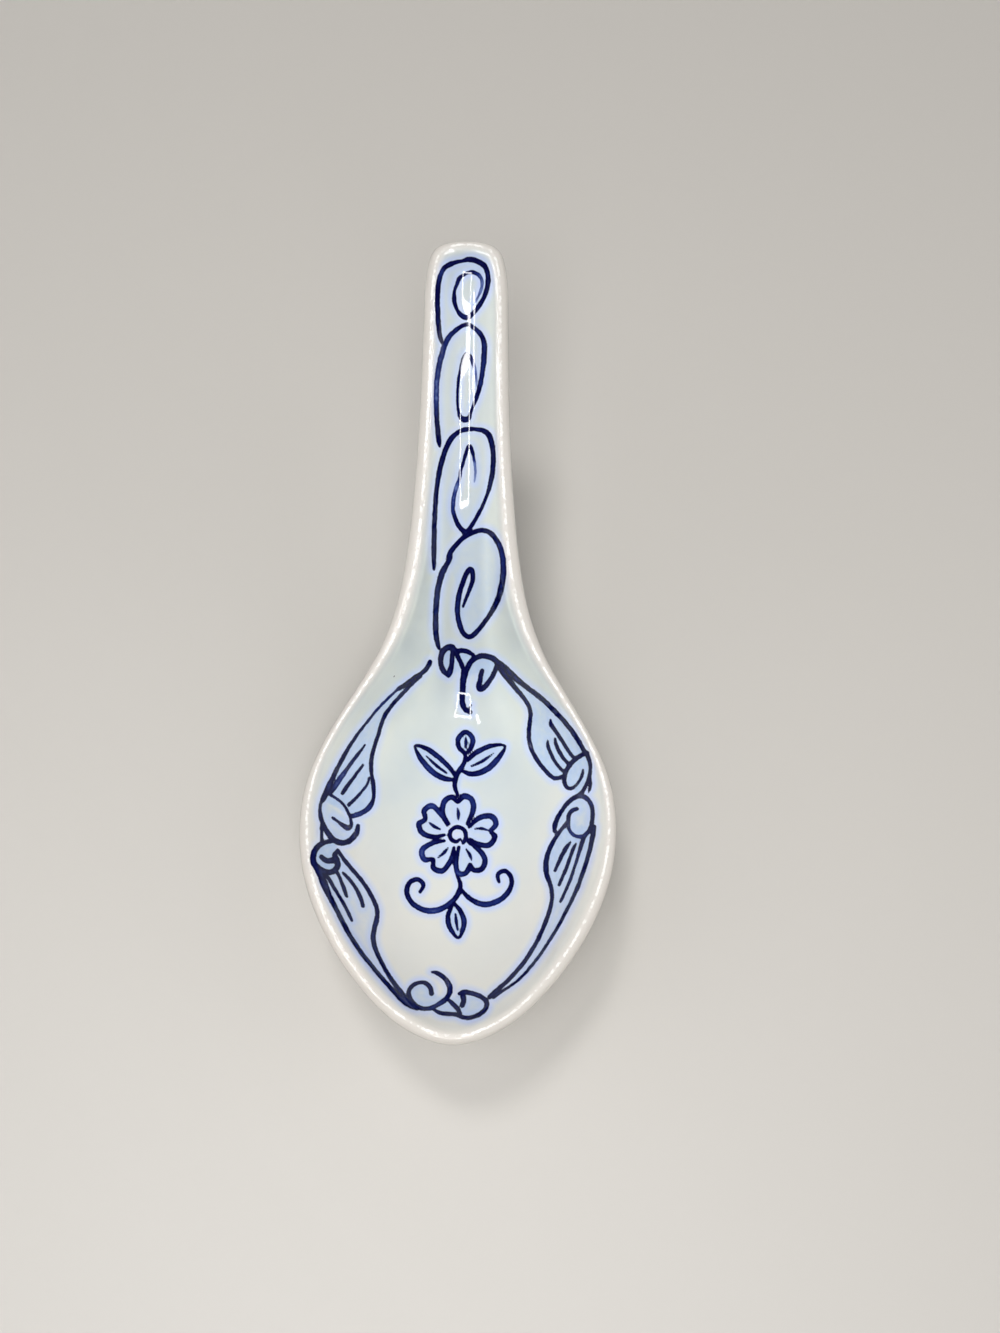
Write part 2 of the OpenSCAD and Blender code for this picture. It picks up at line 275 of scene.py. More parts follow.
# The painting.
# Brush lines over the photograph: x, y and width in its pixels, and the darkness where it is below 1.
STROKES = {
    "scroll_1": [
        (442, 342, 3.5), (440, 336, 4.5), (438.5, 325, 5), (437.8, 311, 5), (437.5, 298, 5.2),
        (438, 287, 5), (439.6, 278, 4.8, .9), (442, 271.5, 4.5, .7), (445.5, 267, 5.2), (451, 264, 5),
        (457, 262, 3.8), (462, 261, 3.5), (468, 259.6, 5), (474, 260, 5.6), (480, 262.6, 5.6),
        (485, 266.6, 5.2), (487.6, 273, 4.6, .95), (488.2, 281, 5), (487, 289, 4.6), (484.2, 297, 4.4),
        (480, 304.5, 4.4), (475.5, 310.5, 4), (470.5, 315.5, 5.2), (466, 317.5, 5), (461.5, 315.5, 4.6),
        (457.6, 311, 3.4), (455.2, 305, 4), (454.2, 298, 4.4), (454.6, 290.5, 3, .95),
        (457, 284, 3.2, .9), (459.5, 278, 3.8), (463.5, 275, 3.2), (468, 272.6, 3, .9),
        (473, 272.3, 4, .95), (478, 274.6, 3.6, .7), (481.6, 279.5, 3.2, .5), (481.8, 286.5, 2.8, .45),
        (479.4, 294, 2.4, .4), (476.4, 300, 2, .35), (473.5, 305, 1.2, .25)],
    "scroll_2": [
        (439.8, 446, 3), (439, 440.5, 5), (437.8, 431, 5.2), (437, 420.5, 5, .95), (436.6, 410, 5, .8),
        (436.3, 400, 5.2, .62), (436.5, 390, 5.2, .58), (437, 380, 5.2, .62), (438.3, 370, 5.2, .75),
        (440.4, 359.5, 5.4, .75), (443.3, 349.5, 5.4, .72), (446, 342.5, 5, .75), (449, 337, 5, .8),
        (453.3, 332.3, 4.6, .85), (458.2, 328.4, 4.2, .95), (463.3, 325.4, 4), (468, 324.4, 4),
        (472, 326.6, 4.2), (477.4, 330.6, 4.2, .85), (481.6, 335.8, 5, .95), (484, 342.3, 5.2, .9),
        (484.5, 350.3, 5.6, .9), (484, 358.5, 5.4, .88), (483.2, 366.5, 5, .85),
        (482.2, 374.5, 4.6, .82), (480.8, 382, 4.6, .85), (479, 389, 4.6, .95), (477.2, 395, 4.2),
        (475.3, 401, 3.6), (472.9, 407, 2.8), (470.8, 413, 2.6), (468.8, 418, 4.4), (465, 419.6, 5.8),
        (461, 418, 4.4), (458.8, 413, 2.6), (457.6, 405, 2.7), (457.4, 396, 2.6), (457.8, 387, 2.6),
        (458.6, 378.5, 2.6, .95), (460.2, 370.5, 2.8), (461.8, 364, 3.3), (463.6, 358.5, 4.2),
        (466.6, 354, 3.6), (470, 356.3, 3.6), (472, 361, 4, .85), (474.2, 367, 3, .55),
        (475.6, 373.5, 2.4, .42), (476.4, 380, 2, .35), (476.6, 386, 1, .25)],
    "scroll_3": [
        (434, 569.5, 2.6), (434, 564, 3.8), (434, 555, 4.6), (434, 545, 5), (434.3, 531, 4.6),
        (434.8, 516, 4.6), (435.5, 502, 4.6), (436.5, 490.5, 4.6), (438, 480, 4.6), (439.8, 470, 5),
        (441.9, 461, 5.2), (444.4, 453, 5.2), (447.3, 445.5, 5.2), (450.9, 439.3, 5.2),
        (455, 434.6, 4.8, .9), (459.4, 431.6, 4.4), (464.6, 429.8, 4.6), (471, 429, 4.2),
        (477, 429.4, 4.2, .9), (483, 430.6, 5), (488, 434, 5.6), (491, 440.3, 5.6, .95),
        (492.6, 448.5, 5, .95), (493.3, 458, 5), (493, 468, 5), (492, 476, 4.8), (490.2, 484, 4.4),
        (488, 492, 3.6), (485, 500, 3.4), (481.5, 508, 3.4), (477.6, 515.6, 3.6), (474, 522, 3.6),
        (470, 528, 4.2), (466.3, 532, 5.6), (461.6, 529.3, 4.8), (457.8, 524, 4.6), (455, 517.6, 4, .95),
        (453.2, 510.5, 3.8, .75), (453.2, 502, 4, .68), (454.6, 493.6, 4, .6), (457, 485.6, 3.6, .5),
        (459.5, 477.5, 3, .75), (461.3, 469, 3, .85), (463.7, 461, 3.2, .9), (465.8, 453.5, 3.4),
        (467.8, 447.3, 3), (470.2, 446, 3.2), (472, 450, 3.6), (473.6, 456.4, 3, .8),
        (474.8, 464, 2.2, .45), (475.4, 473, 2.2, .4), (474.4, 482, 1.2, .3)],
    "scroll_4": [
        (439, 648.5, 2.6), (438, 644.5, 4.6), (436.6, 638, 5.2), (435.6, 628, 5.6, .95),
        (435.5, 618, 5.6, .93), (436, 608, 5.6, .93), (436.8, 598, 5.6, .9), (438.2, 588, 5.6, .92),
        (440.6, 578, 6, .95), (443.6, 570, 6, .95), (447.6, 563, 5), (450.6, 557, 4.4)],
    "scroll_4_inner": [
        (448, 557, 4, .95), (450, 553, 5), (453.6, 548, 5), (458, 543, 4.6), (462.6, 538.4, 4.6),
        (467.6, 535, 5), (473.6, 532.4, 5), (480, 530.4, 4.8), (486, 530.8, 4.8), (491, 533.6, 5, .95),
        (495.4, 538.6, 5, .92), (499, 545, 5.2, .9), (501.7, 552.5, 5.4, .85), (503, 561, 5.8, .85),
        (503.5, 570.5, 6, .85), (502.6, 580, 6, .88), (500.6, 590, 5.8, .95), (497.6, 600, 5.6),
        (493.2, 609, 5), (488.3, 617, 4.6), (483.2, 624, 4.6), (477.6, 630.8, 4.8), (472.4, 635.6, 5),
        (467.8, 636.6, 5), (463.2, 632.8, 4.8), (460, 626, 5, .95), (458, 617, 5.2, .85),
        (457.5, 608, 5.2, .88), (458.5, 598, 5.2, .95), (460.6, 589, 5), (463.4, 581, 5),
        (466.5, 573.4, 5), (470, 569.3, 5), (472.5, 572, 4.6), (472.6, 579, 4.4), (471, 586, 4),
        (468.2, 593, 3.4), (465.6, 599.6, 3), (463, 606.5, 2.6)],
    "knot_left": [
        (448.5, 676.5, 2.4), (443.8, 671.5, 5), (440.9, 664.5, 5.2), (440.8, 657.6, 5.6),
        (443, 651.6, 5.8), (447, 647.8, 6), (451.6, 647, 6), (455, 650.6, 5), (457.6, 656, 4.6),
        (460.6, 662.3, 4.6), (463.2, 668.6, 4.6)],
    "knot_left_inner": [
        (454, 649.5, 4), (452.3, 654, 4.6), (452, 660.5, 4.6), (451.2, 667, 5.2), (449.6, 672.4, 5.6),
        (448.3, 676.4, 3)],
    "knot_bar": [(456, 651.2, 5), (462, 650.6, 4.6), (468, 651.8, 4.6), (473.5, 655, 3.6)],
    "knot_stem": [
        (464.2, 671, 6), (463.3, 680, 6.2), (462.6, 690, 5.6), (462.3, 698, 5.2), (463, 705, 5.6),
        (465.6, 709.6, 4.6), (470, 712.2, 4.6)],
    "knot_hook": [(465, 711, 3), (468.8, 709, 2.6), (471.3, 704.6, 1.4)],
    "knot_right": [
        (464.6, 678, 5), (466.8, 670, 5), (470.5, 662.6, 5.4), (475.6, 658, 5.2), (482, 655.8, 5.6),
        (489, 656.8, 5.6), (494.8, 660, 5.6), (497, 664.3, 4.8), (495.4, 670, 4.6), (492, 677, 4.6),
        (488, 683, 4.8), (484.2, 687.3, 5.4), (480.2, 689, 5.6), (478.7, 685.8, 5.6),
        (480.2, 680.6, 4.8), (480.8, 675, 4.6), (482, 670.8, 4.6)],
    "leaf_1_outer": [
        (430, 662, 4.6), (427.3, 667.6, 4.6), (422.2, 672.8, 4.4), (416, 677, 5), (410, 681.5, 5),
        (404, 685.6, 4.6), (400, 688, 4), (396, 691, 2.6, .7), (390, 696.5, 2.6, .72),
        (384, 702.3, 2.6, .72), (378, 708.8, 2.6, .75), (372, 715.8, 2.6, .8), (366, 723.3, 2.6, .85),
        (360, 731, 2.9, .9), (354, 739.3, 3.2, .92), (348.5, 748, 3.6, .95), (343.5, 756.6, 4),
        (339, 765, 4.2), (335, 773, 4.6, .95), (332, 780, 5.2, .95), (329, 786, 6, .92),
        (326.6, 791.4, 6, .95), (324.8, 796, 5.8), (322, 800.6, 4.6)],
    "leaf_1_inner": [
        (421, 676, 3), (413.5, 682.6, 3.2, .9), (407, 689, 3.6, .9), (401, 695.3, 3.6, .95),
        (395, 701.8, 3.6), (389.6, 708.3, 4), (385, 715.4, 4), (381.5, 723.5, 3.6), (379, 732.3, 3.6),
        (376, 741.3, 3.8), (373.2, 750.3, 4), (371.6, 758.5, 4), (371, 766.4, 4), (371.6, 774.4, 3.6),
        (373, 782.4, 3.9), (373.7, 790.4, 4), (373.6, 797, 3.6, .95), (372, 803, 4.6, .92),
        (368, 808.6, 5, .85), (362, 812.6, 5, .75), (356, 815, 5, .7), (351, 816, 4, .9),
        (348.5, 813.6, 3)],
    "leaf_1_vein_1": [
        (365, 744.6, 1.8), (360, 751.6, 3, .95), (354, 759.3, 3.2, .9), (349, 766.2, 3.6, .85),
        (344, 773.2, 4.6, .72), (338.4, 781, 5.4, .68), (334, 787.5, 5.6, .8), (329.5, 793.5, 4.6)],
    "leaf_1_vein_2": [
        (363, 764.6, 2.6, .95), (357, 773, 3.2, .95), (352, 779.8, 3.6, .95), (347.2, 786.3, 4, .95),
        (342.6, 793, 3.8)],
    "leaf_1_vein_3": [
        (369, 777.5, 2, .9), (367.4, 784, 2.6, .85), (363, 790, 2.6, .85), (358, 796, 3, .9),
        (353, 801, 3.2, .9), (349, 804.6, 4, .95)],
    "leaf_1_edge": [
        (329.6, 794.5, 2.6, .9), (335.4, 798, 2.4, .85), (341.4, 802.4, 2.4, .9),
        (345.6, 807.6, 2.5, .95), (348.7, 813.6, 2.5), (350.8, 820, 2.6, .9), (351.2, 825.5, 4),
        (348, 828, 5), (343, 825.3, 4.4, .95), (338, 821.6, 3, .9), (332.6, 817.8, 2.6, .95)],
    "curl_1": [
        (322, 799.5, 3.2), (320.4, 805, 3, .85), (320, 811.6, 3.6, .9), (321.2, 818.6, 4.2, .98),
        (323.6, 825.6, 4.6), (327.6, 832.6, 5), (332.3, 838.3, 5.2), (337.4, 841.8, 5.6),
        (343.2, 843, 5.6), (349, 841, 5.6), (354, 836.5, 5.6), (357.3, 831, 5), (358, 825.5, 3.6)],
    "curl_1_side": [(322.4, 820, 3), (321.5, 827, 3), (321.6, 834, 3), (322, 841, 3.4)],
    "curl_2": [
        (336.5, 840.6, 3), (330, 841.3, 4.6), (324, 842.7, 4.6), (319, 845.6, 5.2), (315, 850.6, 5.6),
        (313.2, 856.6, 6), (313.7, 862.4, 6), (317.4, 868, 6.2), (323.4, 871.5, 6.4), (330, 872.4, 5.6),
        (335.8, 869.4, 6, .98), (338, 863.6, 5.2, .98), (336.4, 857.6, 5, .95)],
    "curl_2_inner": [
        (321.4, 857, 4.8), (326, 860.6, 5.2, .98), (331.4, 860.6, 6, .98), (336, 859, 6, .95)],
    "leaf_2_outer": [
        (317, 867, 6.6), (321.4, 877, 7), (324.6, 885, 7), (328, 893, 5.8), (332, 901, 5.2),
        (336.6, 910, 4.6), (341.6, 920, 4.6), (346.6, 929.4, 4.6), (352, 938.8, 4.5), (358, 948, 4.3),
        (365, 957.6, 4.3), (372, 966.2, 4.3), (379, 974.7, 4.3), (386, 982.6, 4.3), (392, 989.2, 5),
        (399, 996, 6), (405, 1001.5, 7), (411, 1005.2, 6.6), (417, 1008, 5)],
    "leaf_2_inner": [
        (337.6, 850, 2.8), (343, 858, 4), (349, 865.6, 4), (355, 872.5, 4), (361, 879.6, 4),
        (367, 888, 4), (372, 897, 4.1), (376, 906, 4.2), (377.4, 913.4, 4.4, .95), (376.2, 921.6, 5, .9),
        (374, 930, 5, .92), (373.3, 938.5, 5, .95), (375, 947.4, 4.8), (378.6, 956.4, 4.2),
        (383, 965.3, 4.1), (388, 974.2, 4.2), (393.6, 982.6, 4.6), (399, 990, 5.4), (404, 997, 6),
        (410, 1003, 6.4)],
    "leaf_2_edge": [(338, 850.5, 3), (334, 854.6, 4, .95), (335.6, 858, 4, .95)],
    "leaf_2_vein_1": [
        (323, 872, 3, .95), (328.2, 877.6, 3.8, .95), (333.3, 886.4, 3.4), (338.7, 895.3, 3.4),
        (344, 904.3, 3.4), (348.6, 913.3, 3.4), (351.8, 920.6, 2.6)],
    "leaf_2_vein_2": [
        (336, 870, 4), (339.6, 877.3, 3), (342.6, 885, 3.5, .95), (345, 891.2, 3.9, .95),
        (346.8, 896.6, 2.8, .95)],
    "leaf_2_vein_3": [
        (343, 872.6, 2.6, .95), (349, 879, 3.3, .9), (354, 885.3, 3.4, .95), (358, 892.2, 3.8, .98),
        (361, 899.3, 3.8, .98), (363, 906, 3.8, .92)],
    "tie_left": [
        (431.6, 993.6, 4.8), (430.6, 988.6, 4.5), (427.2, 984.2, 4.5), (421.6, 982.4, 3.6),
        (415.2, 984, 3.8, .98), (410.4, 988, 4, .95), (408.6, 993.4, 4.5, .98), (410, 999.2, 5),
        (414.2, 1004.2, 5), (420.3, 1007.7, 4.6), (427, 1008.7, 4.2), (434, 1006.7, 4.2, .8),
        (440, 1003.4, 4.8, .8), (445.4, 999.6, 5, .95)],
    "tie_top": [
        (431.6, 972, 1.6), (436.6, 972.8, 4), (442, 976, 4.6), (446.6, 980.6, 5, .98),
        (449.6, 986.2, 5.6, .92), (449.6, 992.4, 5.2, .95), (447, 998, 5, .95), (442.6, 1002, 4.6, .9)],
    "tie_right": [
        (433.6, 1009.4, 2.6), (440, 1013, 4), (448, 1013.8, 4.2), (456, 1014.6, 4.2), (462, 1017, 4.2),
        (468.4, 1018, 4.2), (475, 1016.2, 4.6), (481, 1013.4, 4.6), (485.5, 1008.8, 4.7),
        (486.8, 1003.4, 4.8), (484, 998.8, 4.7, .95), (478, 995.4, 4.6, .92), (471, 993, 4.6, .95),
        (464.3, 992.2, 5), (459.5, 993.6, 3.6)],
    "tie_right_inner": [(462.6, 994, 5.4), (463.6, 1000, 5.4), (462.3, 1005.4, 5)],
    "tie_cross": [
        (448.4, 999.6, 3.4, .95), (453, 1004, 4.6, .88), (457.6, 1008.6, 4.6, .95), (460.6, 1013.4, 3)],
    "leaf_3_outer": [
        (496, 661, 5.6), (500.3, 664.6, 6.6), (505.4, 669.2, 7.2), (512, 675, 6.6), (519, 681, 5.6),
        (526, 686.6, 5), (533, 692, 5), (540, 697.4, 5), (546, 702.6, 5), (552, 708.6, 5),
        (558, 714.7, 5), (564, 721.3, 4.7), (570, 728.5, 4.6), (575, 735.7, 4.6), (580, 743.7, 4.6),
        (584, 750.6, 4.6), (587, 755, 4.6), (589.4, 761, 4.2), (590.4, 767.6, 3.6), (589.8, 774, 3.6),
        (588, 780.5, 3.6), (585.4, 786.6, 3.6), (582.3, 792, 4), (578.6, 795.6, 4.6, .98)],
    "leaf_3_inner": [
        (499.4, 667, 5.6), (504, 673.4, 6), (509.3, 680.6, 5.6), (514.6, 687.2, 5), (520, 693.5, 4.5),
        (525, 699.8, 4.1), (529, 706.8, 4.1), (530.6, 714.3, 4.1), (530, 721.8, 4.1), (529, 729.6, 4.1),
        (529, 737.4, 4.1), (530.2, 745.3, 4.1), (533.2, 753.3, 4.1), (537.7, 760.8, 4.1),
        (543, 767.7, 4.1, .98), (548.6, 774, 4.1, .95), (553.2, 777.8, 4, .9), (558.4, 778, 4, .92),
        (563, 776, 3.6)],
    "leaf_3_vein_1": [
        (550.4, 719.6, 1.6), (551.2, 724.8, 4), (556, 731.7, 3.7), (561, 739.2, 3.6),
        (566, 747.2, 3.6, .98), (571, 754.4, 3.6, .95), (574.6, 758.4, 3, .95)],
    "leaf_3_vein_2": [
        (555, 738, 1.4), (555.7, 743.4, 3.6), (558.6, 750.3, 3.6), (562.7, 757.2, 3.6),
        (568.3, 763.8, 3.6)],
    "leaf_3_vein_3": [
        (548, 739.6, 1.4), (547.7, 745.4, 3.3), (550.6, 753.3, 3.3, .95), (554.6, 760.9, 3.3, .95),
        (559.3, 767.3, 3.3, .95), (563.8, 772, 3, .95)],
    "curl_3": [
        (587.4, 753, 4.2), (582, 755, 4.6, .98), (576.2, 758.7, 4.6, .95), (571, 763.7, 4.5, .95),
        (566.6, 770.2, 4.5, .95), (564.5, 777, 4.1, .98), (564.6, 783, 4.1), (567.2, 787.5, 3.7, .95),
        (571.4, 788.4, 3.5, .92), (576, 785.4, 2.8, .98), (579.7, 780.4, 2.8), (582.2, 774.7, 2.8),
        (583, 769.6, 1.8)],
    "curl_3_side": [(589.4, 774.6, 2.2), (590.6, 781.7, 3), (589.7, 788, 3.1), (588.4, 792.6, 1.8)],
    "curl_4": [
        (554.5, 831.5, 3.6), (555, 825.5, 5), (557, 819, 4.6), (560.6, 812.6, 4.1),
        (565.2, 806, 4.1, .98), (570.2, 800.6, 4.5), (576, 796.8, 5), (581.4, 795.8, 5, .95),
        (587, 798.6, 4.5, .88), (591, 804.6, 4.1, .88), (592.6, 812, 4.1, .95), (592.3, 820, 4.1),
        (591, 827, 4.1), (587.6, 832.8, 4, .9), (582.2, 836.2, 3.6, .68), (576.6, 836.3, 3.6, .66),
        (571.6, 833.3, 3.2, .68), (568.6, 828, 3.2, .8), (568.3, 821.6, 4), (568.8, 815.2, 4.1),
        (572, 810.8, 4.1, .9), (577, 808.8, 3.8, .88)],
    "leaf_4_inner": [
        (567.4, 822.6, 4), (562, 828.7, 3.6), (557, 835.7, 3.6), (552.6, 842.7, 4.1), (549, 850.7, 4.6),
        (546.6, 859, 5), (546, 867.3, 5.4), (546.8, 875, 5, .98), (549.2, 881.4, 4.5, .95),
        (551.2, 888, 4.1, .95), (552, 895.4, 4.1), (551.4, 902.6, 4.1), (549.4, 911, 4.1),
        (546, 921, 4.1), (542, 931, 4.1), (537, 941.2, 4.1), (531, 951.6, 4.1), (524.8, 961, 4.1),
        (518, 969.7, 4.1), (510.6, 977.8, 4.1), (503, 985, 4.3), (496, 991, 4.8), (489.6, 997, 4.4)],
    "leaf_4_outer": [
        (594.2, 826.6, 3.8), (593.2, 834, 5), (591.6, 842, 4.6), (589.5, 851, 4.1), (587, 860, 4.1),
        (584, 869.4, 4.1), (580.7, 879, 4.1), (577, 889, 4), (572.7, 898.3, 3.6), (568, 907.6, 3.4, .98),
        (563, 917.3, 3.3, .97), (557.4, 927.6, 3.2, .96), (551, 938.2, 3, .95), (544, 949, 2.9, .95),
        (536.2, 959.8, 2.8, .94), (528, 970, 2.8, .92), (519, 979.4, 2.8, .9), (509.4, 986.6, 2.6, .92),
        (500.6, 992, 3, .95), (493.6, 996.8, 4.2)],
    "leaf_4_vein_1": [
        (570.6, 841.6, 1.8), (566, 848, 4), (562.2, 855, 4), (558.6, 862.6, 3.6), (555, 870.6, 2.8)],
    "leaf_4_vein_2": [
        (576.2, 843, 1.6), (573.2, 849.2, 3.5, .98), (570.2, 857, 3.3, .98), (567.2, 866, 3.3),
        (563.3, 875.2, 3.3), (559, 885, 2.6)],
    "leaf_4_vein_3": [
        (587, 833, 3.8, .85), (584, 838, 4, .9), (581.2, 845.2, 4, .95), (579, 853, 3.3, .9),
        (576.6, 861, 3, .8), (573.6, 870, 3, .85), (570.6, 879, 3.3, .85), (567.2, 887, 3, .95),
        (564, 894.3, 3, .98), (560.4, 901.6, 2.4)],
}

# The flower in the middle of the bowl, drawn about its heart.
FLOWER_HEART = (457.0, 836.0)
FLOWER = {
    "flower_heart": [
        (3, 3, 2.6, .9), (-1, 5.6, 3.6), (-6.4, 2.4, 4), (-6.6, -4.4, 4, .95), (-0.6, -8.8, 4),
        (6.6, -6.8, 4), (9, 0.4, 4, .9), (6, 7, 3.4, .9)],
    "petal_1": [
        (-8, -12, 3), (-14, -22, 5, .9), (-13, -34, 5.4, .8), (-5, -39, 5.4, .9), (1, -34, 4),
        (7, -40, 5.4, .9), (15, -36, 5.6, .75), (16, -25, 5.2, .85), (10, -12, 3.2)],
    "petal_2": [
        (12, -9, 3), (22, -18, 5, .9), (34, -20, 5.4, .9), (39, -12, 5.4, .75), (34, -5, 4.2, .9),
        (38, 1, 5.2), (32, 9, 5.2, .9), (21, 8, 4.8, .95), (12.6, 3, 3)],
    "petal_3": [
        (11, 6, 3), (21, 13, 4.8, .95), (28, 23, 5.2, .85), (25, 33, 5.4, .9), (16.6, 34, 5, .95),
        (13, 28.6, 3.8), (9, 37, 5.2, .9), (1, 37, 5.4, .75), (-1, 26, 4.8, .9), (2, 11, 3)],
    "petal_4": [
        (-3, 11.6, 3), (-6, 24, 4.8, .95), (-14, 34.6, 5.2, .9), (-23.4, 32, 5.4, .9), (-24, 23.6, 4),
        (-32.6, 23.4, 5.2, .8), (-35, 14, 5.4, .75), (-25, 7.4, 4.8, .9), (-12.6, 4.6, 3)],
    "petal_5": [
        (-12.6, -1, 3), (-23.4, 1, 4.8), (-34.6, -3, 5.2, .9), (-38, -12, 5.4, .85),
        (-31.6, -17, 4.4, .9), (-33, -25.4, 5.2, .9), (-24.6, -30, 5.4, .75), (-14.6, -20, 4.8, .9),
        (-9.6, -10.6, 3)],
    "petal_vein_1": [(1, -16, 1.6, .9), (1.4, -22, 3.2, .9), (0.6, -28, 1.4, .8)],
    "petal_vein_2": [(18, -7, 1.6, .9), (24, -7.4, 3.2, .9), (30, -6, 1.4, .8)],
    "petal_vein_3": [(9, 13, 1.6, .9), (12.6, 18.4, 3.2, .9), (14.4, 24, 1.4, .8)],
    "petal_vein_4": [(-9, 12, 1.6, .9), (-13.4, 17, 3.2, .9), (-18.6, 21.4, 1.4, .8)],
    "petal_vein_5": [(-16.6, -6.6, 1.6, .9), (-22.6, -9.4, 3.2, .9), (-28, -13.6, 1.4, .8)],
    "stem_high": [
        (1, -40, 2.8), (-2.4, -51, 4.4), (1, -63, 4.8, .95), (7, -73, 4.2, .9), (8, -82, 4),
        (2, -88.6, 4.6, .95), (1.6, -98, 5, .85), (9, -104, 4.8, .9), (15.6, -97.6, 5, .8),
        (14, -88, 4.6, .95), (8.6, -82, 3.4)],
    "bud_vein": [(8.4, -88, 1.6), (9, -94, 3.2, .9), (8.6, -99, 1.4, .8)],
    "leaf_high_left": [
        (-1.6, -56, 2.8), (-13, -57.6, 5.2, .95), (-25.6, -65, 5.8, .8), (-36, -77, 5.2, .9),
        (-42, -90, 2.4), (-31, -87.6, 4.6), (-18.6, -79, 5, .85), (-7, -68, 4.4, .95), (-1, -58, 2.8)],
    "leaf_high_left_vein": [(-10, -62.6, 1.6, .9), (-20, -70, 3.2, .9), (-31, -80, 1.4, .8)],
    "leaf_high_right": [
        (3, -66, 2.8), (15, -62, 5), (29, -66, 5.8, .85), (40.6, -77, 5.2, .85), (48, -90, 2.2),
        (34, -90, 4.6, .95), (21, -84.6, 5, .9), (10, -76, 4.2)],
    "leaf_high_right_vein": [(14, -69.6, 1.6, .9), (25, -74.6, 3.2, .9), (37, -83, 1.4, .8)],
    "scroll_low_left": [
        (0, 39, 2.8), (3.6, 50, 4.6), (-1.6, 62, 5.2, .95), (-13, 71.6, 5.6, .8), (-28, 75, 5.6, .75),
        (-42, 69.6, 5.2, .9), (-50, 58, 5), (-47.6, 47, 4.8), (-39, 43.4, 4.4, .95),
        (-33.6, 49, 4.2, .9), (-37, 56, 3)],
    "scroll_low_right": [
        (3.4, 52, 2.8), (12, 62, 4.8), (26, 68.4, 5.6, .85), (41, 65, 5.4, .8), (52, 55, 5, .95),
        (54.6, 43, 4.8), (48.6, 35, 4.4), (41, 38, 4.2, .9), (42, 46, 3)],
    "leaf_low": [
        (-3.6, 66, 2.8), (4, 76, 4.8, .95), (7, 88, 5.2, .85), (1.6, 102, 2.6), (-7, 92, 4.8, .9),
        (-9, 80, 4.8, .95), (-4, 68, 2.8)],
    "leaf_low_vein": [(-1.6, 78, 1.6, .9), (-0.6, 86, 3.2, .9), (0.6, 94, 1.4, .8)],
}
for name, line in FLOWER.items():
    STROKES[name] = [(FLOWER_HEART[0] + x, FLOWER_HEART[1] + y, *brush) for x, y, *brush in line]

# Pale washes of thin colour: strength at the top and at the foot, then the outline as strokes, a
# turned one marked by a minus. A leaf's wash is strongest where the leaf is tied.
WASHES = [
    (0.6, 0.6, ["tie_cross", "-tie_left"]),
    (0.8, 0.8, ["knot_bar", "-knot_right"]),
    (0.36, 0.1, ["scroll_1"]),
    (0.22, 0.06, ["scroll_2"]),
    (0.3, 0.42, ["scroll_4_inner"]),
]
LEAF_WASHES = [(1, 0.52, 0.85), (2, 0.6, 0), (3, 0.5, 0.9), (4, 0.85, 0.1)]
EVEN_WASHES = [
    (0.2, ["scroll_3"]),
    (0.42, ["petal_1", "petal_2", "petal_3", "petal_4", "petal_5"]),
    (0.5, ["curl_1", "tie_left"]),
    (0.55, ["tie_right", "stem_high", "leaf_high_left", "leaf_high_right", "leaf_low"]),
    (0.6, ["curl_4"]),
    (0.7, ["knot_left", "knot_right"]),
    (0.85, ["curl_3"]),
    (0.9, ["curl_2"]),
]
for leaf, top, foot in LEAF_WASHES:
    WASHES.append((top, foot, [f"leaf_{leaf}_outer", f"-leaf_{leaf}_inner"]))
for strength, names in EVEN_WASHES:
    WASHES += [(strength, strength, [name]) for name in names]

FAR = 30.0             # pixels, a distance that means no paint near
BRUSH_REACH = 14       # pixels round a brush line that take its colour or its bleed
WASH_REACH = 4         # pixels round a wash that can take its colour
WASH_FADE = 3          # pixels over which a wash fades out at its edge
THINNEST_LINE = 0.8    # pixels
FULL_INK = 1           # darkness of a line where its point gives none
CURVE_STEPS = 5
BATCH = 4000           # points worked out at a time
PIXEL = 0.168          # mm of the spoon under one pixel of the photograph
RIM_FADE = 0.62        # share of the rim's rings over which its thin glaze and painted shade fade out to each side
RIM_LIGHT_LIFT = 0.25       # most painted light lift that the skin outside the crest takes
FACING_TIP = (0.5, 0.9)    # how far a slope faces the tip, from taking the steep walls' painted light to none
CREST_REACH = 2        # mm from the crest that are told apart


def smooth_curve(points):
    """A brush line through its points, as many short straight pieces."""
    p = np.array([(*point, FULL_INK)[:4] for point in points], float)
    p = np.concatenate([2 * p[:1] - p[1:2], p, 2 * p[-1:] - p[-2:-1]])
    t = np.linspace(0, 1, CURVE_STEPS, endpoint=False)[:, None]
    spans = []
    for i in range(1, len(p) - 2):
        a, b, c, d = p[i - 1], p[i], p[i + 1], p[i + 2]
        spans.append(0.5 * (2 * b + (c - a) * t + (2 * a - 5 * b + 4 * c - d) * t ** 2
                            + (3 * b - a - 3 * c + d) * t ** 3))
    line = np.concatenate(spans + [p[-2:-1]])
    line[:, 2] = np.maximum(line[:, 2], THINNEST_LINE)
    return line


def to_segments(at, start, end):
    """Distances from each place to each segment, and how far along it they fall."""
    way = end - start
    t = ((at[:, None] - start) * way).sum(2) / np.maximum((way ** 2).sum(1), TINY)
    t = np.clip(t, 0, 1)
    gap = at[:, None] - (start + way * t[..., None])
    return np.sqrt((gap ** 2).sum(2)), t


def batches(at, low, high, reach):
    """Numbers of the places within reach of the box from low to high, in handy lots."""
    near = np.nonzero(((at > low - reach) & (at < high + reach)).all(1))[0]
    return [part for part in np.array_split(near, max(1, len(near) // BATCH)) if len(part)]


